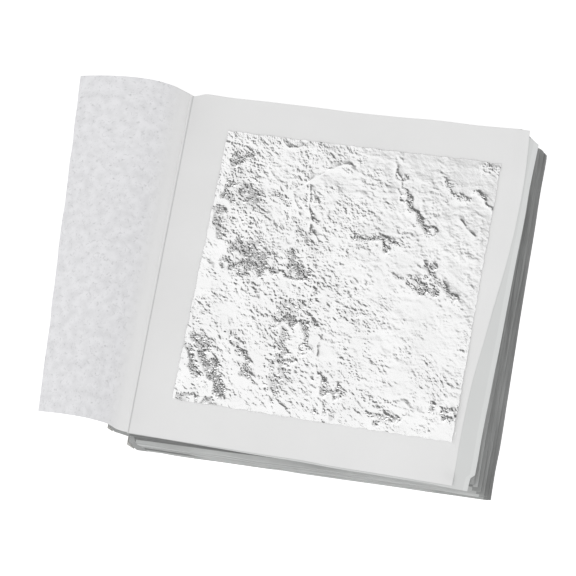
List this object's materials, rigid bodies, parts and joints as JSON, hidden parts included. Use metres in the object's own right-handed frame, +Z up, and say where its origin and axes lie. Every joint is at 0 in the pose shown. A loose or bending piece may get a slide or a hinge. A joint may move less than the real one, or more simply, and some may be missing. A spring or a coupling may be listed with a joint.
{
  "type": "silver leaf booklet",
  "caption": "Glued booklet of tissue pages with a square of silver leaf on each page and its front sheet turned back as a curled flap; pages turn and leaves slide out.",
  "frame": {"origin": "on the underside of the back page, below the middle of the top page", "axes": "+X from the glued edge to the fore-edge, +Y from tail to head of the page, +Z up"},
  "size_m": [0.1608, 0.1229, 0.0293],
  "materials": {
    "tissue": "smooth pale grey-white tissue",
    "flap_tissue": "mottled tissue with small grey fibres",
    "bound_paper": "edges of glued sheets, layered",
    "spine_glue": "dry brushed glue film",
    "silver_leaf": "crinkled bright silver foil"
  },
  "bodies": {
    "bound_block": {"upper_bound_edge": "bound_paper", "lower_bound_edge": "bound_paper", "upper_spine_glue": "spine_glue", "lower_spine_glue": "spine_glue", "back_page": "tissue"},
    "front_flap": {"front_flap": "flap_tissue"},
    "page_01": {"page_01": "tissue"},
    "silver_leaf_01": {"silver_leaf_01": "silver_leaf"},
    "page_02": {"page_02": "tissue"},
    "silver_leaf_02": {"silver_leaf_02": "silver_leaf"},
    "page_03": {"page_03": "tissue", "silver_leaf_03": "silver_leaf"},
    "page_04": {"page_04": "tissue", "silver_leaf_04": "silver_leaf"},
    "page_05": {"page_05": "tissue", "silver_leaf_05": "silver_leaf"},
    "page_06": {"page_06": "tissue", "silver_leaf_06": "silver_leaf"},
    "page_07": {"page_07": "tissue", "silver_leaf_07": "silver_leaf"},
    "page_08": {"page_08": "tissue", "silver_leaf_08": "silver_leaf"},
    "page_09": {"page_09": "tissue", "silver_leaf_09": "silver_leaf"},
    "page_10": {"page_10": "tissue", "silver_leaf_10": "silver_leaf"},
    "page_11": {"page_11": "tissue", "silver_leaf_11": "silver_leaf"},
    "page_12": {"page_12": "tissue", "silver_leaf_12": "silver_leaf"},
    "page_13": {"page_13": "tissue", "silver_leaf_13": "silver_leaf"},
    "page_14": {"page_14": "tissue", "silver_leaf_14": "silver_leaf"},
    "page_15": {"page_15": "tissue", "silver_leaf_15": "silver_leaf"},
    "page_16": {"page_16": "tissue", "silver_leaf_16": "silver_leaf"},
    "page_17": {"page_17": "tissue", "silver_leaf_17": "silver_leaf"},
    "page_18": {"page_18": "tissue", "silver_leaf_18": "silver_leaf"},
    "page_19": {"page_19": "tissue", "silver_leaf_19": "silver_leaf"},
    "page_20": {"page_20": "tissue", "silver_leaf_20": "silver_leaf"},
    "page_21": {"page_21": "tissue", "silver_leaf_21": "silver_leaf"},
    "page_22": {"page_22": "tissue", "silver_leaf_22": "silver_leaf"},
    "page_23": {"page_23": "tissue", "silver_leaf_23": "silver_leaf"},
    "page_24": {"page_24": "tissue", "silver_leaf_24": "silver_leaf"},
    "page_25": {"page_25": "tissue", "silver_leaf_25": "silver_leaf"}
  },
  "joints": [
    {"name": "front_flap_turn", "type": "hinge", "parent": "bound_block", "child": "front_flap", "pos_m": [-0.0601, 0, 0.01677], "axis": [0, -1, 0], "range_deg": [-95, 20]},
    {"name": "page_01_turn", "type": "hinge", "parent": "page_02", "child": "page_01", "pos_m": [-0.05843, 0, 0.01627], "axis": [0, -1, 0], "range_deg": [0, 85]},
    {"name": "silver_leaf_01_slide", "type": "slide", "parent": "page_01", "child": "silver_leaf_01", "axis": [1, 0, 0], "range_m": [0, 0.105]},
    {"name": "page_02_turn", "type": "hinge", "parent": "bound_block", "child": "page_02", "pos_m": [-0.05827, 0, 0.01562], "axis": [0, -1, 0], "range_deg": [0, 35]},
    {"name": "silver_leaf_02_slide", "type": "slide", "parent": "page_02", "child": "silver_leaf_02", "axis": [1, 0, 0], "range_m": [0, 0.105]},
    {"name": "page_03_turn", "type": "hinge", "parent": "bound_block", "child": "page_03", "pos_m": [-0.05811, 0, 0.01497], "axis": [0, -1, 0], "range_deg": [0, 33.55]},
    {"name": "page_04_turn", "type": "hinge", "parent": "bound_block", "child": "page_04", "pos_m": [-0.05795, 0, 0.01432], "axis": [0, -1, 0], "range_deg": [0, 32.09]},
    {"name": "page_05_turn", "type": "hinge", "parent": "bound_block", "child": "page_05", "pos_m": [-0.05779, 0, 0.01367], "axis": [0, -1, 0], "range_deg": [0, 30.63]},
    {"name": "page_06_turn", "type": "hinge", "parent": "bound_block", "child": "page_06", "pos_m": [-0.05764, 0, 0.01302], "axis": [0, -1, 0], "range_deg": [0, 29.17]},
    {"name": "page_07_turn", "type": "hinge", "parent": "bound_block", "child": "page_07", "pos_m": [-0.05748, 0, 0.01237], "axis": [0, -1, 0], "range_deg": [0, 27.71]},
    {"name": "page_08_turn", "type": "hinge", "parent": "bound_block", "child": "page_08", "pos_m": [-0.05732, 0, 0.01172], "axis": [0, -1, 0], "range_deg": [0, 26.25]},
    {"name": "page_09_turn", "type": "hinge", "parent": "bound_block", "child": "page_09", "pos_m": [-0.05716, 0, 0.01107], "axis": [0, -1, 0], "range_deg": [0, 24.8]},
    {"name": "page_10_turn", "type": "hinge", "parent": "bound_block", "child": "page_10", "pos_m": [-0.057, 0, 0.01042], "axis": [0, -1, 0], "range_deg": [0, 23.34]},
    {"name": "page_11_turn", "type": "hinge", "parent": "bound_block", "child": "page_11", "pos_m": [-0.05684, 0, 0.00977], "axis": [0, -1, 0], "range_deg": [0, 21.88]},
    {"name": "page_12_turn", "type": "hinge", "parent": "bound_block", "child": "page_12", "pos_m": [-0.05669, 0, 0.00912], "axis": [0, -1, 0], "range_deg": [0, 20.42]},
    {"name": "page_13_turn", "type": "hinge", "parent": "bound_block", "child": "page_13", "pos_m": [-0.05653, 0, 0.00847], "axis": [0, -1, 0], "range_deg": [0, 18.96]},
    {"name": "page_14_turn", "type": "hinge", "parent": "bound_block", "child": "page_14", "pos_m": [-0.05637, 0, 0.00782], "axis": [0, -1, 0], "range_deg": [0, 17.5]},
    {"name": "page_15_turn", "type": "hinge", "parent": "bound_block", "child": "page_15", "pos_m": [-0.05621, 0, 0.00717], "axis": [0, -1, 0], "range_deg": [0, 16.05]},
    {"name": "page_16_turn", "type": "hinge", "parent": "bound_block", "child": "page_16", "pos_m": [-0.05605, 0, 0.00652], "axis": [0, -1, 0], "range_deg": [0, 14.59]},
    {"name": "page_17_turn", "type": "hinge", "parent": "bound_block", "child": "page_17", "pos_m": [-0.05589, 0, 0.00587], "axis": [0, -1, 0], "range_deg": [0, 13.13]},
    {"name": "page_18_turn", "type": "hinge", "parent": "bound_block", "child": "page_18", "pos_m": [-0.05574, 0, 0.00522], "axis": [0, -1, 0], "range_deg": [0, 11.67]},
    {"name": "page_19_turn", "type": "hinge", "parent": "bound_block", "child": "page_19", "pos_m": [-0.05558, 0, 0.00457], "axis": [0, -1, 0], "range_deg": [0, 10.21]},
    {"name": "page_20_turn", "type": "hinge", "parent": "bound_block", "child": "page_20", "pos_m": [-0.05542, 0, 0.00392], "axis": [0, -1, 0], "range_deg": [0, 8.76]},
    {"name": "page_21_turn", "type": "hinge", "parent": "bound_block", "child": "page_21", "pos_m": [-0.05526, 0, 0.00327], "axis": [0, -1, 0], "range_deg": [0, 7.3]},
    {"name": "page_22_turn", "type": "hinge", "parent": "bound_block", "child": "page_22", "pos_m": [-0.0551, 0, 0.00262], "axis": [0, -1, 0], "range_deg": [0, 5.84]},
    {"name": "page_23_turn", "type": "hinge", "parent": "bound_block", "child": "page_23", "pos_m": [-0.05494, 0, 0.00197], "axis": [0, -1, 0], "range_deg": [0, 4.38]},
    {"name": "page_24_turn", "type": "hinge", "parent": "bound_block", "child": "page_24", "pos_m": [-0.05479, 0, 0.00132], "axis": [0, -1, 0], "range_deg": [0, 2.92]},
    {"name": "page_25_turn", "type": "hinge", "parent": "bound_block", "child": "page_25", "pos_m": [-0.05463, 0, 0.00067], "axis": [0, -1, 0], "range_deg": [0, 1.46]}
  ],
  "couplings": [
    {"joint": "page_03_turn", "follows": "page_02_turn", "ratio": 0.95833},
    {"joint": "page_04_turn", "follows": "page_02_turn", "ratio": 0.91667},
    {"joint": "page_05_turn", "follows": "page_02_turn", "ratio": 0.875},
    {"joint": "page_06_turn", "follows": "page_02_turn", "ratio": 0.83333},
    {"joint": "page_07_turn", "follows": "page_02_turn", "ratio": 0.79167},
    {"joint": "page_08_turn", "follows": "page_02_turn", "ratio": 0.75},
    {"joint": "page_09_turn", "follows": "page_02_turn", "ratio": 0.70833},
    {"joint": "page_10_turn", "follows": "page_02_turn", "ratio": 0.66667},
    {"joint": "page_11_turn", "follows": "page_02_turn", "ratio": 0.625},
    {"joint": "page_12_turn", "follows": "page_02_turn", "ratio": 0.58333},
    {"joint": "page_13_turn", "follows": "page_02_turn", "ratio": 0.54167},
    {"joint": "page_14_turn", "follows": "page_02_turn", "ratio": 0.5},
    {"joint": "page_15_turn", "follows": "page_02_turn", "ratio": 0.45833},
    {"joint": "page_16_turn", "follows": "page_02_turn", "ratio": 0.41667},
    {"joint": "page_17_turn", "follows": "page_02_turn", "ratio": 0.375},
    {"joint": "page_18_turn", "follows": "page_02_turn", "ratio": 0.33333},
    {"joint": "page_19_turn", "follows": "page_02_turn", "ratio": 0.29167},
    {"joint": "page_20_turn", "follows": "page_02_turn", "ratio": 0.25},
    {"joint": "page_21_turn", "follows": "page_02_turn", "ratio": 0.20833},
    {"joint": "page_22_turn", "follows": "page_02_turn", "ratio": 0.16667},
    {"joint": "page_23_turn", "follows": "page_02_turn", "ratio": 0.125},
    {"joint": "page_24_turn", "follows": "page_02_turn", "ratio": 0.083333},
    {"joint": "page_25_turn", "follows": "page_02_turn", "ratio": 0.041667}
  ]
}
